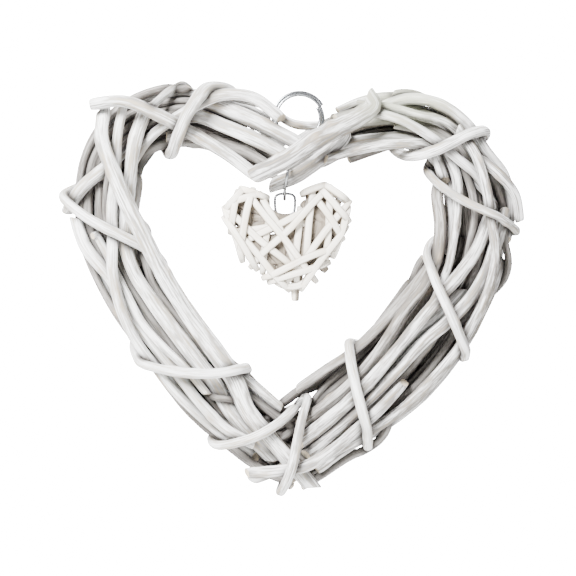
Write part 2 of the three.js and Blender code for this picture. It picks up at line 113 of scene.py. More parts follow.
def smooth_line(points, step, closed=False):
    """Points at about one step along the smooth curve through a row of points."""
    if closed:
        ends = [points[-1], *points, points[0], points[1]]
    else:
        ends = [points[0] * 2 - points[1], *points, points[-1] * 2 - points[-2]]
    fine = []
    for a, b, c, d in zip(ends, ends[1:], ends[2:], ends[3:]):
        at_b = (b - a).length ** 0.5
        at_c = at_b + (c - b).length ** 0.5
        at_d = at_c + (d - c).length ** 0.5
        for k in range(16):
            t = at_b + (at_c - at_b) * k / 16
            ab, bc = a.lerp(b, t / at_b), b.lerp(c, (t - at_b) / (at_c - at_b))
            cd = c.lerp(d, (t - at_c) / (at_d - at_c))
            fine.append(ab.lerp(bc, t / at_c).lerp(bc.lerp(cd, (t - at_b) / (at_d - at_b)), k / 16))
    fine.append(points[0 if closed else -1].copy())
    lengths = [0.0]
    for a, b in zip(fine, fine[1:]):
        lengths.append(lengths[-1] + (b - a).length)
    count = max(4, round(lengths[-1] / step))
    line, at = [], 0
    for k in range(count + 1):
        want = lengths[-1] * k / count
        while at < len(fine) - 2 and lengths[at + 1] < want:
            at += 1
        span = lengths[at + 1] - lengths[at] or 1
        line.append(fine[at].lerp(fine[at + 1], min(1, (want - lengths[at]) / span)))
    return line


def places_along(line, closed=False):
    """A matrix at each point of a line, with Z along the line and no twist from one to the next."""
    places = []
    side = None
    last = len(line) - 1
    for k, point in enumerate(line):
        if closed and k in (0, last):
            ahead = (line[1] - line[last - 1]).normalized()
        else:
            ahead = (line[min(k + 1, last)] - line[max(k - 1, 0)]).normalized()
        if side is None:
            side = ahead.cross(Vector((0.36, 0.8, 0.48))).normalized()
        side = (side - ahead * side.dot(ahead)).normalized()
        turn = Matrix((side, ahead.cross(side), ahead)).transposed().to_4x4()
        places.append(Matrix.Translation(point) @ turn)
    return places


def sweep(bm, places, shape, facets, first_lap=0.0):
    """Draws an outline along the places. shape(x, y, k) gives the outline's point at place k for a point of
    the unit circle. The straight layer keeps where each vertex was on the rod before it was bent."""
    straight = bm.verts.layers.float_vector["straight"]
    ring = bmesh.ops.create_circle(bm, segments=facets, radius=1)["verts"]
    for v in ring:
        v[straight] = (v.co.x, v.co.y, 0)
    edges = list({e for v in ring for e in v.link_edges})
    rows = []
    lap = first_lap
    for k, place in enumerate(places):
        if k:
            lap += (place.translation - places[k - 1].translation).length
            made = bmesh.ops.extrude_edge_only(bm, edges=edges)["geom"]
            ring = [g for g in made if isinstance(g, bmesh.types.BMVert)]
            fresh = set(ring)
            edges = [g for g in made if isinstance(g, bmesh.types.BMEdge) and fresh.issuperset(g.verts)]
        for v in ring:
            x, y = v[straight][0], v[straight][1]
            v.co = place @ shape(x, y, k)
            v[straight] = (x, y, lap)
        rows.append((ring, edges))
    return rows


def finished(bm, name):
    """A closed bmesh made an object: its faces turned outwards, and its sides smooth but not its cut ends."""
    bmesh.ops.recalc_face_normals(bm, faces=bm.faces)
    for f in bm.faces:
        f.smooth = len(f.verts) == 4
    mesh = bpy.data.meshes.new(name)
    bm.to_mesh(mesh)
    bm.free()
    piece = bpy.data.objects.new(name, mesh)
    scene.collection.objects.link(piece)
    return piece


def round_rod(name, centres, radius, seed, knots_at=(), thick=1.0):
    """One willow rod: a tapered round shoot with knots, cut at both ends."""
    chance = random.Random(seed)
    line = smooth_line(centres, ROD_STEP)
    places = places_along(line)
    length = sum((b - a).length for a, b in zip(line, line[1:]))
    step = length / (len(line) - 1)
    knots = []
    at = chance.uniform(0.012, KNOT_SPACING[0])
    while at < length - 0.008:
        knots.append((at, chance.uniform(-math.pi, math.pi), chance.uniform(*KNOT_HEIGHT)))
        at += chance.uniform(*KNOT_SPACING)
    for x_mm, z_mm, height in knots_at:
        spot = Vector((x_mm / 1000, 0, z_mm / 1000))
        k = min(range(len(line)), key=lambda k: (line[k].x - spot.x) ** 2 + (line[k].z - spot.z) ** 2)
        toward = places[k].inverted() @ (line[k] + Vector((spot.x - line[k].x, -radius, spot.z - line[k].z)))
        knots.append((k * step, math.atan2(toward.y, toward.x), height))
    butt = chance.choice((-1, 1)) * TAPER
    drift = Vector([chance.uniform(-40, 40) for _ in range(3)])
    twist = chance.uniform(0, math.pi)

    bm = bmesh.new()
    straight = bm.verts.layers.float_vector.new("straight")
    knot = bm.verts.layers.float.new("knot")
    cut = bm.verts.layers.float.new("cut")

    def shape(x, y, k):
        s = k * step
        out = 1 + butt * (0.5 - s / length)
        out += SWELL * noise.noise(Vector((0, 0, s / SWELL_LENGTH)) + drift)
        out += LUMP * noise.noise(Vector((x * 1.3, y * 1.3, s / LUMP_LENGTH)) + drift)
        out += RIPPLE * noise.noise(Vector((x * 2.6, y * 2.6, s / RIPPLE_LENGTH)) + drift)
        angle = math.atan2(y, x)
        out -= OVAL * math.cos(2 * (angle - twist - s / OVAL_TURN))
        for where, facing, height in knots:
            along = (s - where) / KNOT_LENGTH
            if abs(along) < 3:
                around = math.remainder(angle - facing, math.tau) / KNOT_SPREAD
                swell = math.exp(-along * along - around * around)
                collar = KNOT_COLLAR * math.exp(-along * along)
                out += height * (swell + collar)
        out *= 1 - END_WEAR * max(0, 1 - min(s, length - s) / WORN_END) ** 2
        return Vector((x, y, 0)) * radius * ROUNDED * thick * out

    rows = sweep(bm, places, shape, ROD_FACETS, chance.uniform(0, 3))
    for k, (ring, _) in enumerate(rows):
        for v in ring:
            x, y, s = v[straight]
            angle = math.atan2(y, x)
            for where, facing, height in knots:
                along = (k * step - where) / KNOT_LENGTH
                around = math.remainder(angle - facing, math.tau) / (KNOT_SPREAD * 0.8)
                v[knot] = max(v[knot], math.exp(-along * along - around * around))

    for (ring, edges), place, way in ((rows[0], places[0], -1), (rows[-1], places[-1], 1)):
        axis = place.to_3x3() @ Vector((0, 0, way))
        lean = chance.uniform(*CUT_LEAN)
        facing = chance.uniform(0, math.tau)
        for v in ring:
            v.co += axis * radius * lean * (v[straight][0] * math.cos(facing) + v[straight][1] * math.sin(facing))
        made = bmesh.ops.extrude_edge_only(bm, edges=edges)["geom"]
        rim = [g for g in made if isinstance(g, bmesh.types.BMVert)]
        fresh = set(rim)
        for v in rim:
            v.co += (place.translation - v.co) * CUT_BEVEL + axis * radius * 0.09
            v[cut] = 1
        edges = [g for g in made if isinstance(g, bmesh.types.BMEdge) and fresh.issuperset(g.verts)]
        bmesh.ops.edgeloop_fill(bm, edges=edges)
    for v in bm.verts:
        x, y, s = v[straight]
        inward = 1 - CUT_BEVEL if v[cut] else 1
        v[straight] = (x * radius * inward, y * radius * inward, s)
    return finished(bm, name), line, radius


def linear(hex_code):
    """An sRGB hex colour as linear red, green, blue and alpha."""
    parts = [int(hex_code[k:k + 2], 16) / 255 for k in (1, 3, 5)]
    return [p / 12.92 if p <= 0.04045 else ((p + 0.055) / 1.055) ** 2.4 for p in parts] + [1]


def add_node(tree, kind, links=None, **settings):
    """Adds a node, sets it up, and links or sets its sockets."""
    made = tree.nodes.new(kind)
    for key, value in settings.items():
        setattr(made, key, value)
    for key, source in (links or {}).items():
        if isinstance(source, bpy.types.NodeSocket):
            tree.links.new(source, made.inputs[key])
        else:
            made.inputs[key].default_value = source
    return made


def white_washed_willow(name, wash, thin_wash, bare):
    """Peeled willow under thin white wash: matt, with grey streaks along the grain where the wash is thin,
    bare warm wood where it has rubbed off, and painted shade, dark grey, where rods lie close together and on the deep
    side that faces the heart's opening."""
    material = bpy.data.materials.new(name)
    material.use_nodes = True
    tree = material.node_tree
    tree.nodes.clear()
    straight = add_node(tree, "ShaderNodeAttribute", attribute_name="straight").outputs["Vector"]
    fibre_at = add_node(tree, "ShaderNodeMapping", {"Vector": straight, "Scale": (1 / 0.0009, 1 / 0.0009, 1 / 0.016)})
    fibre = add_node(tree, "ShaderNodeTexNoise", {"Vector": fibre_at.outputs[0], "Scale": 1, "Detail": 3,
                                                  "Roughness": 0.6})
    patch_at = add_node(tree, "ShaderNodeMapping", {"Vector": straight, "Scale": (1 / 0.004, 1 / 0.004, 1 / 0.024)})
    patch = add_node(tree, "ShaderNodeTexNoise", {"Vector": patch_at.outputs[0], "Scale": 1, "Detail": 4,
                                                  "Roughness": 0.62})
    streaks = add_node(tree, "ShaderNodeMapRange", {"Value": fibre.outputs["Fac"], "From Min": 0.45, "From Max": 0.61},
                       interpolation_type="SMOOTHSTEP")
    thin = add_node(tree, "ShaderNodeMapRange", {"Value": patch.outputs["Fac"], "From Min": 0.44, "From Max": 0.62},
                    interpolation_type="SMOOTHSTEP")
    tone = add_node(tree, "ShaderNodeAttribute", attribute_name="tone").outputs["Fac"]
    both = add_node(tree, "ShaderNodeMath", {0: streaks.outputs[0], 1: thin.outputs[0]}, operation="MAXIMUM")
    faded = add_node(tree, "ShaderNodeMath", {0: both.outputs[0], 1: tone}, operation="MULTIPLY")
    coat = add_node(tree, "ShaderNodeMix", {0: faded.outputs[0], 6: linear(wash), 7: linear(thin_wash)},
                    data_type="RGBA")
    rubbed = add_node(tree, "ShaderNodeMath", {0: thin.outputs[0], 1: streaks.outputs[0]}, operation="MULTIPLY")
    worn = add_node(tree, "ShaderNodeMix", {0: rubbed.outputs[0], 6: coat.outputs[2], 7: linear(bare)},
                    data_type="RGBA")
    knot = add_node(tree, "ShaderNodeAttribute", attribute_name="knot").outputs["Fac"]
    knot_share = add_node(tree, "ShaderNodeMath", {0: knot, 1: 0.75}, operation="MULTIPLY")
    knotted = add_node(tree, "ShaderNodeMix", {0: knot_share.outputs[0], 6: worn.outputs[2], 7: linear("#A2937F")},
                       data_type="RGBA")
    cut = add_node(tree, "ShaderNodeAttribute", attribute_name="cut").outputs["Fac"]
    sawn = add_node(tree, "ShaderNodeMix", {0: cut, 6: knotted.outputs[2], 7: linear("#CDBFA8")}, data_type="RGBA")
    # Painted shade: the attribute read here darkens the colour to dark grey between rods and on the inner side.
    painted_shade = add_node(tree, "ShaderNodeAttribute", attribute_name="painted_shade").outputs["Fac"]
    bark = add_node(tree, "ShaderNodeAttribute", attribute_name="bark").outputs["Fac"]
    tinted = add_node(tree, "ShaderNodeMix", {0: bark, 6: sawn.outputs[2], 7: linear("#C3C8AF")}, data_type="RGBA")
    shaded_base = add_node(tree, "ShaderNodeMix", {0: painted_shade, 6: tinted.outputs[2], 7: linear("#36332F")}, data_type="RGBA")
    height = add_node(tree, "ShaderNodeMath", {0: fibre.outputs["Fac"], 1: patch.outputs["Fac"]}, operation="ADD")
    bump = add_node(tree, "ShaderNodeBump", {"Height": height.outputs[0], "Strength": 0.8, "Distance": 0.0007})
    matt = add_node(tree, "ShaderNodeMapRange", {"Value": patch.outputs["Fac"], "From Min": 0.3, "From Max": 0.7,
                                                 "To Min": 0.55, "To Max": 0.80})
    shader = add_node(tree, "ShaderNodeBsdfPrincipled", {"Base Color": shaded_base.outputs[2],
                                                         "Roughness": matt.outputs[0], "Normal": bump.outputs[0]})
    add_node(tree, "ShaderNodeOutputMaterial", {"Surface": shader.outputs[0]})
    return material


# Most rods took a full coat. A few that lie deep under the left arch or on the inner side get a darker copy of the
# wash, which is painted shade, and the shoots inside the bundle get a darker one still, painted deep shade.
bright_willow = white_washed_willow("white_washed_willow_bright", "#F4F4F3", "#94918D", "#ADA28F")
willow_in_painted_shade = white_washed_willow("white_washed_willow_in_painted_shade", "#A8A5A1", "#6A6560", "#756C5F")
willow_in_deep_painted_shade = white_washed_willow("willow_deep_painted_shade", "#8E8A86", "#605C58", "#5C564E")
LEFT_PAINTED_SHADE = {"left_front_rod_10": willow_in_deep_painted_shade, "left_inner_rod_2": willow_in_painted_shade, "left_back_rod_3": willow_in_painted_shade}
TUCK_STOPS = 5
TUCKED_IN = {
    "left_inner_rod_1": (-10.5, 6, 0), "left_front_rod_7": (0, 3, -3.8), "right_inner_rod": (6.5, 4, 4),
}


def tucked_in(node, centres):
    """The centres of a rod, with its notch end pushed into the bundle, where no loose end shows."""
    shift = Vector(TUCKED_IN.get(node, (0, 0, 0))) / 1000
    return [centre + shift * max(0, 1 - k / TUCK_STOPS) for k, centre in enumerate(centres)]


laid = []
for seed, node in enumerate(LEFT_RODS):
    centres, radius = rod_axis(node)
    piece, line, radius = round_rod("willow_" + node, tucked_in(node, centres), radius, seed)
    piece.data.materials.append(LEFT_PAINTED_SHADE.get(node, bright_willow))
    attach(piece, "root")
    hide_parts(node)
    laid.append((piece, line, radius, 0.85))

# The rods of the right half are the same shoots. Their wash is greyer, partly a thinner wash and partly painted
# shade for the side away from the key lamp. Two rods at the inner side of the leg, one of which runs on behind a
# binder, take the darker copy that is painted shade. By the notch some green bark is left.
RIGHT_RODS = [
    "right_front_rod_1", "right_front_rod_2", "right_front_rod_3", "right_front_rod_4", "right_front_rod_5",
    "right_front_rod_6", "right_front_rod_7", "right_front_rod_8", "right_front_rod_9", "right_front_rod_10",
    "right_front_rod_11", "right_front_rod_12", "right_front_rod_13", "right_front_rod_14", "right_front_rod_15",
    "right_front_rod_16", "right_front_rod_17", "right_inner_rod", "right_outer_rod_1", "right_outer_rod_2",
    "right_back_rod_1", "right_back_rod_2", "right_back_rod_3", "right_back_rod_4", "right_core_rod",
]
RIGHT_KNOTS = {"right_front_rod_1": [(13.5, -14, 0.2), (7.5, -23, 0.2)]}
# The grey copy of the wash is partly painted shade; the two inner rods take the painted shade copy.
grey_and_shaded_willow = white_washed_willow("white_washed_willow_grey_and_painted_shade", "#E0DFDE", "#787572", "#938878")
RIGHT_PAINTED_SHADE = ("right_inner_rod", "right_front_rod_14")
RUNS_ON = {"right_front_rod_14": [(66, 6, -31), (70.5, 1.5, -40)]}
for seed, node in enumerate(RIGHT_RODS):
    centres, radius = rod_axis(node)
    centres = [Vector(stop) / 1000 for stop in RUNS_ON.get(node, ())] + centres
    piece, line, radius = round_rod("willow_" + node, tucked_in(node, centres), radius, 100 + seed,
                                    RIGHT_KNOTS.get(node, ()))
    piece.data.materials.append(willow_in_painted_shade if node in RIGHT_PAINTED_SHADE else grey_and_shaded_willow)
    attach(piece, "root")
    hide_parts(node)
    laid.append((piece, line, radius, 1.0))

# The binders are thinner shoots, wound green once round the bundle and tucked in at the back. They hold the
# rods together at the lobes, the legs and the tip.
BINDERS = [
    "left_binder_1", "left_binder_2", "left_binder_3", "left_binder_4", "tip_binder_1", "tip_binder_2",
    "right_binder_1", "right_binder_2", "right_binder_3", "right_binder_4",
]
BINDER_KNOTS = {"right_binder_3": [(80, -109.5, 0.2)]}
BINDER_SLIP = 0.0080
LOOSE_SLIP = {"tip_binder_1": 0.0015, "tip_binder_2": 0.0015}
BINDER_PULL = 0.25
TIGHTENING_ROUNDS = 60
CONTACT_REACH = 0.009
CONTACT_PUSH = 0.12
END_DEPTHS = [0.0050, 0.0022]
BINDER_THICKNESS = 0.86


def skins_laid():
    """The centre points of all rods laid so far, in a search tree, and the rod's number and radius at each."""
    tree, owners = KDTree(sum(len(line) for _, line, _, _ in laid)), []
    for number, (_, line, radius, _) in enumerate(laid):
        for point in line:
            tree.insert(point, len(owners))
            owners.append((number, radius))
    tree.balance()
    return tree, owners


def drawn_tight(route, half, slip, pull):
    """The route of a shoot pulled tight: it shortens until it lies on the rods that it goes round."""
    stood = [point.copy() for point in route]
    for _ in range(TIGHTENING_ROUNDS):
        pulled = []
        for k, point in enumerate(route):
            push = Vector()
            for skin, at, distance in near.find_range(point, CONTACT_REACH):
                lack = owner[at][1] * ROUNDED + half - distance
                if lack > 0 and distance > 0:
                    push += (point - skin) * (lack / distance * CONTACT_PUSH)
            if 0 < k < len(route) - 1:
                push += ((route[k - 1] + route[k + 1]) / 2 - point) * pull
            moved = point + push - stood[k]
            pulled.append(stood[k] + moved.normalized() * min(slip, moved.length))
        route = pulled
    return route


near, owner = skins_laid()
for seed, node in enumerate(BINDERS):
    centres, radius = rod_axis(node)
    centres = drawn_tight(smooth_line(centres, 0.004), radius * ROUNDED * BINDER_THICKNESS,
                          LOOSE_SLIP.get(node, BINDER_SLIP), BINDER_PULL)
    for k, depth in enumerate(END_DEPTHS):
        centres[k].y -= depth
        centres[-1 - k].y -= depth
    piece, line, radius = round_rod("willow_" + node, centres, radius, 200 + seed, BINDER_KNOTS.get(node, ()),
                                    BINDER_THICKNESS)
    piece.data.materials.append(bright_willow)
    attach(piece, "root")
    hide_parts(node)
    laid.append((piece, line, radius, 0.75))

# More thin shoots fill the middle of the bundle, between the outer rods. Their dark grey colour is painted
# shade for the inside of the bundle.
MIDDLE_SHOOTS = [
    (-7, 1, 4.6, 0), (0, 5, 4.2, 0), (7, 1, 4.8, 0), (0, -6, 4.4, 0), (-10, -5, 4.6, 0), (9, -4, 4.2, 0),
    (4, -9, 4.6, 0), (-4, 9, 4.0, 0.1), (-14, 2, 5.0, 0.42), (-13, -6, 4.4, 0.46), (11, 4, 4.4, 0.1),
]
LEFT_LEG_SHOOTS = [(-17, -3, 4.6, 0.40)]
RIGHT_LEG_SHOOTS = [(-18, -2, 5.0, 0.40), (-22, 0, 5.0, 0.50), (-25, -3, 5.2, 0.56), (-23, -5, 4.6, 0.48)]
INNER_SLIP = 0.009
INNER_PULL = 0.10
TIP_OVERRUN = 0.022
near, owner = skins_laid()
for limb, core in enumerate(("left_core_rod", "right_core_rod")):
    middle = rod_axis(core)[0]
    middle = smooth_line(middle + [middle[-1] + (middle[-1] - middle[-2]).normalized() * TIP_OVERRUN], 0.004)
    shoots = MIDDLE_SHOOTS + (RIGHT_LEG_SHOOTS if limb else LEFT_LEG_SHOOTS)
    for number, (outward, forward, diameter, begin) in enumerate(shoots):
        half = diameter / 2000
        route = []
        for place in places_along(middle)[round(begin * len(middle)):]:
            ahead = place.to_3x3() @ Vector((0, 0, 1))
            out = ahead.cross(Vector((0, 1, 0))).normalized() * (1 if limb else -1)
            route.append(place.translation + out * outward / 1000 + Vector((0, -forward / 1000, 0)))
        route = drawn_tight(route, half, INNER_SLIP, INNER_PULL)
        piece, line, radius = round_rod(f"willow_{('left', 'right')[limb]}_inner_shoot_{number + 1}", route, half,
                                        300 + limb * 20 + number)
        piece.data.materials.append(willow_in_deep_painted_shade)
        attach(piece, "root")
        laid.append((piece, line, radius, 0.9))

# Three more thin shoots lie at the back of the left arch, in its shade; their dark colour is painted shade.
ARCH_SHOOT_RADIUS = 0.0030
ARCH_SHOOTS = [
    [(-13, 7, -39), (-34, 9, -28), (-50, 9, -20), (-68, 8, -20), (-82, 5, -36)],
    [(-11, 10, -31), (-27, 11, -23.5), (-42, 11, -16.5), (-60, 10, -13), (-78, 8, -22)],
    [(-16, 11, -36), (-31, 12, -26), (-47, 13, -18), (-66, 12, -16), (-80, 9, -28)],
]
for number, stops in enumerate(ARCH_SHOOTS):
    piece, line, radius = round_rod(f"willow_arch_shoot_{number + 1}", [Vector(stop) / 1000 for stop in stops],
                                    ARCH_SHOOT_RADIUS, 360 + number)
    piece.data.materials.append(willow_in_deep_painted_shade)
    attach(piece, "root")
    laid.append((piece, line, radius, 0.9))

# Shade is painted into the wash: the lines where rods lie against each other, and the deep side that faces the heart's
# opening, are darkened towards dark grey. The layer of painted shade keeps both: how close the next rod's skin
# is, and how far a spot looks inwards. The tone layer keeps how thin each rod's wash came out.
GAP_REACH = 0.0034
GAP_SEARCH = 0.0090
GAP_FADE = 1.3
TONE_SPREAD = (0.6, 1.4)
BARK_SHARE = 0.6
OPENING_MIDDLE = Vector((-0.005, 0, -0.085))
INSIDE_SHARE = 0.50
INSIDE_FROM = -0.011
INSIDE_DEPTH = 0.014
BARK_AT = (0.052, -0.004)
BARK_SIZE = (0.024, 0.013)
near, owner = skins_laid()
for index, (piece, line, radius, tone) in enumerate(laid):
    chance = random.Random(500 + index)
    shade = tone * chance.uniform(*TONE_SPREAD)
    painted_shades, barks = [], []
    for v in piece.data.vertices:
        far = Vector(((v.co.x - BARK_AT[0]) / BARK_SIZE[0], (v.co.z - BARK_AT[1]) / BARK_SIZE[1]))
        barks.append(BARK_SHARE * math.exp(-far.length_squared))
        closest = GAP_REACH
        for point, at, distance in near.find_range(v.co, GAP_SEARCH):
            other, thickness = owner[at]
            if other != index:
                closest = min(closest, distance - thickness)
        inward = OPENING_MIDDLE - v.co
        inward.y = 0
        inside = max(0, v.normal.dot(inward.normalized())) * min(1, max(0, (v.co.y - INSIDE_FROM) / INSIDE_DEPTH))
        painted_shades.append(max(INSIDE_SHARE * inside, min(1, max(0, 1 - closest / GAP_REACH)) ** GAP_FADE))
    piece.data.attributes.new("painted_shade", "FLOAT", "POINT").data.foreach_set("value", painted_shades)
    piece.data.attributes.new("bark", "FLOAT", "POINT").data.foreach_set("value", barks)
    piece.data.attributes.new("tone", "FLOAT", "POINT").data.foreach_set("value", [shade] * len(painted_shades))

# The hanging ring is a split ring of plated spring wire: two turns side by side, their ends cut square. The
# hook is bent from the same wire round a notch rod, and the pendant's loop is a closed ring of thinner wire.
WIRE_FACETS = 12
bright_wire = bpy.data.materials.new("plated_bright_wire")
bright_wire.use_nodes = True
tree = bright_wire.node_tree
tree.nodes.clear()
place = add_node(tree, "ShaderNodeTexCoord").outputs["Object"]
smear = add_node(tree, "ShaderNodeTexNoise", {"Vector": place, "Scale": 1 / 0.003, "Detail": 4})
dull = add_node(tree, "ShaderNodeMapRange", {"Value": smear.outputs["Fac"], "From Min": 0.3, "From Max": 0.7,
                                             "To Min": 0.22, "To Max": 0.38})
tint = add_node(tree, "ShaderNodeMix", {0: smear.outputs["Fac"], 6: linear("#B4B7BA"), 7: linear("#85898D")},
                data_type="RGBA")
shader = add_node(tree, "ShaderNodeBsdfPrincipled", {"Base Color": tint.outputs[2], "Metallic": 1,
                                                     "Roughness": dull.outputs[0]})
add_node(tree, "ShaderNodeOutputMaterial", {"Surface": shader.outputs[0]})


def round_wire(name, line, wire, closed=False):
    """Round wire bent along a line, with its ends cut square, or joined."""
    bm = bmesh.new()
    bm.verts.layers.float_vector.new("straight")
    rows = sweep(bm, places_along(line, closed), lambda x, y, k: Vector((x, y, 0)) * wire / 2, WIRE_FACETS)
    if closed:
        bmesh.ops.remove_doubles(bm, verts=rows[0][0] + rows[-1][0], dist=wire / 20)
    else:
        bmesh.ops.edgeloop_fill(bm, edges=rows[0][1])
        bmesh.ops.edgeloop_fill(bm, edges=rows[-1][1])
    piece = finished(bm, name)
    piece.data.materials.append(bright_wire)
    return piece


RING_INNER_RADIUS = 0.0112
RING_WIRE = 0.0016
RING_PITCH = 0.0020
RING_TURNS = 2
RING_SPREAD = 0.0016
ring_middle = RING_INNER_RADIUS + RING_WIRE / 2
ring_line = []
for degree in range(0, 360 * RING_TURNS + 1, 5):
    angle = math.radians(degree) + math.pi / 3
    spread = ring_middle + (degree / 360 - RING_TURNS / 2) * RING_SPREAD
    ring_line.append(Vector((spread * math.sin(angle), (degree / 360 - RING_TURNS / 2) * RING_PITCH,
                             spread * math.cos(angle) - RING_INNER_RADIUS)))
ring = round_wire("split_ring", ring_line, RING_WIRE)
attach(ring, "root")
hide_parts("hanging_ring")

HOOK_WIRE = 0.0016
HOOK_ROUTE = [(-5.5, 3, -45), (-5.5, 3, -40), (-5.5, 0, -36), (-5.5, -5, -35), (-5.5, -9.5, -37.5), (-6, -10, -41),
              (-6.5, -8, -44), (-7, -5, -47), (-7.2, -2.7, -49.8), (-7.2, 0, -51.7), (-7.2, 2.7, -49.8),
              (-7.2, 3, -47.5)]
hook_line = smooth_line([Vector(stop) / 1000 for stop in HOOK_ROUTE], 0.0006)
hook = round_wire("hook_wire", hook_line, HOOK_WIRE)
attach(hook, "root")
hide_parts("pendant_hook")

LOOP_WIRE = 0.0014
LOOP_CORNERS = [(-11.5, -50), (-7, -48.8), (-2.5, -50), (-2, -54), (-3, -58.5), (-7, -59.5), (-11, -58.5), (-12, -54)]
loop_line = smooth_line([Vector((x, 0, z)) / 1000 for x, z in LOOP_CORNERS], 0.0006, closed=True)
loop = round_wire("loop_wire", loop_line, LOOP_WIRE, closed=True)
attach(loop, "root")
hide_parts("pendant_loop")

# The pendant is a little hollow heart woven from flat strips of peeled skin, split off the shoot and scraped
# even. Each strip is wound once round the heart and tucked in, and more strips lie under it.
PENDANT = Vector((-0.006, 0, -0.073))
OUTER_WIDTH, UNDER_WIDTH = 0.0036, 0.0046
UNDER_STEP = -0.0014
STRIP_THICKNESS = 0.0012
STRIP_DEPTHS = [0.0064, 0.0076, 0.0088]
STRIP_STEPS = 48
STRIP_FACETS = 12
STRIP_SQUARE, STRIP_FLAT = 0.45, 0.7
RIM_SHADE_FROM, RIM_SHADE_TO = 0.36, 0.97
STRIP_FULLNESS = 0.72
OUTER_STRIPS = [
    (-20.5, 25.5, 15, -20, 2), (-32, 17.5, 5, -15, 1), (-18.5, -13, 22.5, 28, 2), (-2, -22.5, 31.5, 21, 1),
    (-17, 27, -24, -6.5, 2), (13, 27.5, 9, -10, 1), (6, 17.5, 4.5, -22, 0), (-29.5, 19.5, -12.5, 23.5, 1),
    (-12.5, -18, 25.5, -2, 2), (15.5, 27, 31.5, 10, 2), (-29.5, 10, 1.5, -24.5, 1), (30, 8.5, 6.5, -24, 1),
    (7, 23.5, 20, 28.5, 1), (17.5, 28.5, 30.5, 20.5, 1), (-31, 16, -21.5, 26.5, 1),
    (-24, 26.5, -9, 22, 0), (-31, 18, -22, -10, 0), (31, 18, 23, -8, 0), (-12.5, 23, 7, -15, 1),
    (11.5, 25, 28.5, 1, 1), (-8.5, 15, -12.5, -16, 0), (-27.5, 5, 16.5, 10, 0), (-23.5, -1.5, 14, 18, 1),
    (-9.5, -20.5, 21.5, -10, 1), (-24, 26, -28.5, 4, 1), (22, 28, 19, -12, 0), (-31.5, 13, -14.5, -14, 2),
]
UNDER_STRIPS = [
    (-28, 5, 10, 13, 0), (-24, 22, 24, -2, 0), (-14, 24, -8, -18, 0), (20, 25, 12, -16, 0), (-20, -8, 29, 12, 0),
    (26, 21, -8, -17, 0), (-26, 18, 6, -21, 0), (8, 20, 26, 2, 0), (-14, 20, 20, -14, 0), (-29, 12, 28, 11, 0),
    (-22, 0, 26, 4, 0), (-14, -10, 18, -8, 0), (-4, 14, -2, -21, 0), (15, 26, 20, -8, 0), (-20, 24, -18, -8, 0),
    (-27, 14, -4, -18, 0), (27, 16, 4, -18, 0), (-10, 21, -16, -10, 0), (12, 24, 6, -20, 0), (-26, 20, 2, 8, 0),
    (26, 20, -2, 6, 0), (-18, 5, 20, -9, 0), (18, 3, -19, -9, 0),
]


def wound_strip(bm, x0, z0, x1, z1, depth, width, seed):
    """One flat strip wound once round the little heart, between two turns at its edge."""
    chance = random.Random(seed)
    start, end = Vector((x0, 0, z0)) / 1000, Vector((x1, 0, z1)) / 1000
    middle, along = (start + end) / 2, (end - start).normalized()
    half = (end - start).length / 2
    across = along.cross(Vector((0, 1, 0)))
    phase, wave = chance.uniform(0, math.tau), chance.uniform(0.0002, 0.0006)
    row = []
    for k in range(STRIP_STEPS):
        turn = math.tau * k / STRIP_STEPS
        u = math.copysign(abs(math.cos(turn)) ** STRIP_FULLNESS, math.cos(turn)) * half
        y = math.copysign(abs(math.sin(turn)) ** STRIP_FULLNESS, math.sin(turn)) * depth
        row.append(PENDANT + middle + along * u + across * wave * math.sin(u / 0.006 + phase) + Vector((0, y, 0)))
    places = []
    for k in range(STRIP_STEPS + 1):
        ahead = (row[(k + 1) % STRIP_STEPS] - row[k - 1]).normalized()
        side = (across - ahead * across.dot(ahead)).normalized()
        turned = Matrix((side, ahead.cross(side), ahead)).transposed().to_4x4()
        places.append(Matrix.Translation(row[k % STRIP_STEPS]) @ turned)

    def shape(x, y, k):
        narrow = 0.62 + 0.38 * abs(math.sin(math.tau * k / STRIP_STEPS)) ** 0.5
        return Vector((math.copysign(abs(x) ** STRIP_SQUARE, x) * narrow * width / 2,
                       math.copysign(abs(y) ** STRIP_FLAT, y) * STRIP_THICKNESS / 2, 0))

    straight = bm.verts.layers.float_vector["straight"]
    rows = sweep(bm, places, shape, STRIP_FACETS, chance.uniform(0, 3))
    for ring, _ in rows:
        for v in ring:
            x, y, s = v[straight]
            v[straight] = (x * width / 2, y * STRIP_THICKNESS / 2, s)
    bmesh.ops.remove_doubles(bm, verts=rows[0][0] + rows[-1][0], dist=0.00005)


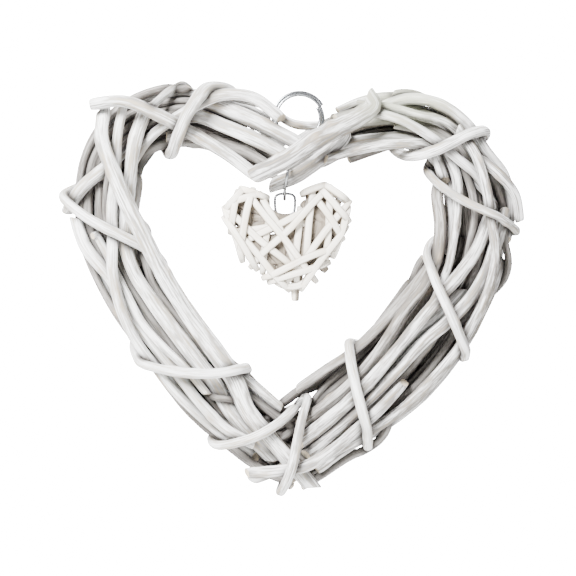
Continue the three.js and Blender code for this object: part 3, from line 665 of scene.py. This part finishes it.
def peeled_strip(name, skin, fibre_tint, stain, rim_shade_colour):
    """Peeled flat strip, cream and satin: fine fibre lines along it, a warmer stain here and there
    and painted shade at its edges, where strips meet."""
    material = bpy.data.materials.new(name)
    material.use_nodes = True
    tree = material.node_tree
    tree.nodes.clear()
    straight = add_node(tree, "ShaderNodeAttribute", attribute_name="straight").outputs["Vector"]
    fibre_at = add_node(tree, "ShaderNodeMapping", {"Vector": straight, "Scale": (1 / 0.0006, 1 / 0.0006, 1 / 0.020)})
    fibre = add_node(tree, "ShaderNodeTexNoise", {"Vector": fibre_at.outputs[0], "Scale": 1, "Detail": 3})
    stain_at = add_node(tree, "ShaderNodeMapping", {"Vector": straight, "Scale": (1 / 0.005, 1 / 0.005, 1 / 0.014)})
    stains = add_node(tree, "ShaderNodeTexNoise", {"Vector": stain_at.outputs[0], "Scale": 1, "Detail": 3})
    lines = add_node(tree, "ShaderNodeMapRange", {"Value": fibre.outputs["Fac"], "From Min": 0.42, "From Max": 0.75})
    spots = add_node(tree, "ShaderNodeMapRange", {"Value": stains.outputs["Fac"], "From Min": 0.5, "From Max": 0.78})
    lined = add_node(tree, "ShaderNodeMix", {0: lines.outputs[0], 6: linear(skin), 7: linear(fibre_tint)},
                     data_type="RGBA")
    stained = add_node(tree, "ShaderNodeMix", {0: spots.outputs[0], 6: lined.outputs[2], 7: linear(stain)},
                       data_type="RGBA")
    across = add_node(tree, "ShaderNodeSeparateXYZ", {0: straight}).outputs[0]
    aside = add_node(tree, "ShaderNodeMath", {0: across}, operation="ABSOLUTE")
    # Painted shade: the colour darkens towards both edges of each strip.
    rim = add_node(tree, "ShaderNodeMapRange", {"Value": aside.outputs[0], "From Min": RIM_SHADE_FROM * OUTER_WIDTH / 2,
                                                "From Max": RIM_SHADE_TO * OUTER_WIDTH / 2, "To Max": 0.9})
    rim_shaded = add_node(tree, "ShaderNodeMix", {0: rim.outputs[0], 6: stained.outputs[2], 7: linear(rim_shade_colour)},
                     data_type="RGBA")
    bump = add_node(tree, "ShaderNodeBump", {"Height": fibre.outputs["Fac"], "Strength": 0.3, "Distance": 0.0003})
    satin = add_node(tree, "ShaderNodeMapRange", {"Value": stains.outputs["Fac"], "From Min": 0.3, "From Max": 0.7,
                                                  "To Min": 0.42, "To Max": 0.62})
    shader = add_node(tree, "ShaderNodeBsdfPrincipled", {"Base Color": rim_shaded.outputs[2],
                                                         "Roughness": satin.outputs[0], "Normal": bump.outputs[0]})
    add_node(tree, "ShaderNodeOutputMaterial", {"Surface": shader.outputs[0]})
    return material


cream_strip = peeled_strip("cream_peeled_strip", "#F4EFE4", "#D6CCBA", "#D8CBB4", "#7A6E60")
# The under strips take a dark copy of the strip colours: painted shade for the inside of the little heart.
strip_in_painted_shade = peeled_strip("peeled_strip_in_painted_shade", "#857B6D", "#665C4F", "#574C3E", "#3F372F")
for name, strips, layer_step, width, material in (
        ("woven_heart_outer", OUTER_STRIPS, 0, OUTER_WIDTH, cream_strip),
        ("woven_heart_under", UNDER_STRIPS, UNDER_STEP, UNDER_WIDTH, strip_in_painted_shade)):
    bm = bmesh.new()
    bm.verts.layers.float_vector.new("straight")
    for seed, (x0, z0, x1, z1, layer) in enumerate(strips):
        wound_strip(bm, x0, z0, x1, z1, STRIP_DEPTHS[layer] + layer_step, width, 700 + seed)
    woven = finished(bm, name)
    woven.data.materials.append(material)
    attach(woven, "root")
    if name == "woven_heart_outer":
        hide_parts("pendant_front", "pendant_back")

# The strips start from the cut end of a thin stick, which stands out at the pendant's foot. A last strip is
# bent round it at the front.
STICK_RADIUS = 0.0024
STICK_STOPS = [(4, 0, -14), (4, 0, -19), (4, 0, -24), (4, 0, -29)]
stub, _, _ = round_rod("pendant_stick", [PENDANT + Vector(stop) / 1000 for stop in STICK_STOPS], STICK_RADIUS, 800)
stub.data.materials.append(cream_strip)
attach(stub, "root")
FOOT_STRIP_FORWARD = -4.6
FOOT_STRIP = [(-8, -15), (-5.5, -19.5), (-1.5, -21.8), (3, -22.3), (7.5, -21), (10.5, -17.5), (12, -14)]
foot_line = smooth_line([PENDANT + Vector((x, FOOT_STRIP_FORWARD, z)) / 1000 for x, z in FOOT_STRIP], 0.0010)
bm = bmesh.new()
straight = bm.verts.layers.float_vector.new("straight")
places = []
for k, point in enumerate(foot_line):
    ahead = (foot_line[min(k + 1, len(foot_line) - 1)] - foot_line[max(k - 1, 0)]).normalized()
    side = ahead.cross(Vector((0, 1, 0))).normalized()
    places.append(Matrix.Translation(point) @ Matrix((side, ahead.cross(side), ahead)).transposed().to_4x4())


def flat_section(x, y, k):
    """The strip's section: a flat bar with rounded edges."""
    return Vector((math.copysign(abs(x) ** STRIP_SQUARE, x) * OUTER_WIDTH / 2,
                   math.copysign(abs(y) ** STRIP_FLAT, y) * STRIP_THICKNESS / 2, 0))


rows = sweep(bm, places, flat_section, STRIP_FACETS)
for ring, _ in rows:
    for v in ring:
        x, y, s = v[straight]
        v[straight] = (x * OUTER_WIDTH / 2, y * STRIP_THICKNESS / 2, s)
bmesh.ops.edgeloop_fill(bm, edges=rows[0][1])
bmesh.ops.edgeloop_fill(bm, edges=rows[-1][1])
foot = finished(bm, "pendant_foot_strip")
foot.data.materials.append(cream_strip)
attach(foot, "root")

# The floor is a plain pale sheet well below the hanging heart, painted matt. It ends below the edge of the
# picture.
FLOOR_HALF, FLOOR_LEVEL = 0.8, -0.46
floor_bm = bmesh.new()
bmesh.ops.create_grid(floor_bm, x_segments=1, y_segments=1, size=FLOOR_HALF,
                      matrix=Matrix.Translation((0, 0, FLOOR_LEVEL)))
floor_mesh = bpy.data.meshes.new("floor")
floor_bm.to_mesh(floor_mesh)
floor_bm.free()
floor = bpy.data.objects.new("floor", floor_mesh)
scene.collection.objects.link(floor)
floor_paint = bpy.data.materials.new("pale_floor")
floor_paint.use_nodes = True
floor_paint.node_tree.nodes["Principled BSDF"].inputs["Base Color"].default_value = linear("#F2F2F0")
floor_paint.node_tree.nodes["Principled BSDF"].inputs["Roughness"].default_value = 0.8
floor.data.materials.append(floor_paint)

# Soft studio light: a large key lamp above, left and in front, a weak fill from the right, one more lamp for
# the back, and a white room.
LAMPS = [
    ("key", (-0.55, -0.85, 0.55), 0.45, 104), ("fill", (0.8, -0.7, -0.1), 0.8, 5), ("back", (0.5, 0.9, 0.45), 0.6, 45),
]
LIT_POINT = Vector((0, 0, -0.095))
for name, spot, size, power in LAMPS:
    lamp_data = bpy.data.lights.new(name, "AREA")
    lamp_data.size = size
    lamp_data.energy = power
    lamp = bpy.data.objects.new(name, lamp_data)
    lamp.location = spot
    lamp.rotation_mode = "QUATERNION"
    lamp.rotation_quaternion = (LIT_POINT - Vector(spot)).to_track_quat("-Z", "Y")
    scene.collection.objects.link(lamp)
room = bpy.data.worlds.new("white_room")
room.use_nodes = True
scene.world = room
tree = room.node_tree
tree.nodes.clear()
seen = add_node(tree, "ShaderNodeLightPath").outputs["Is Camera Ray"]
shed = add_node(tree, "ShaderNodeBackground", {"Color": linear("#FFFFFF"), "Strength": 0.14})
shown = add_node(tree, "ShaderNodeBackground", {"Color": linear("#FFFFFF"), "Strength": 30})
mixed = add_node(tree, "ShaderNodeMixShader", {0: seen, 1: shed.outputs[0], 2: shown.outputs[0]})
add_node(tree, "ShaderNodeOutputWorld", {"Surface": mixed.outputs[0]})
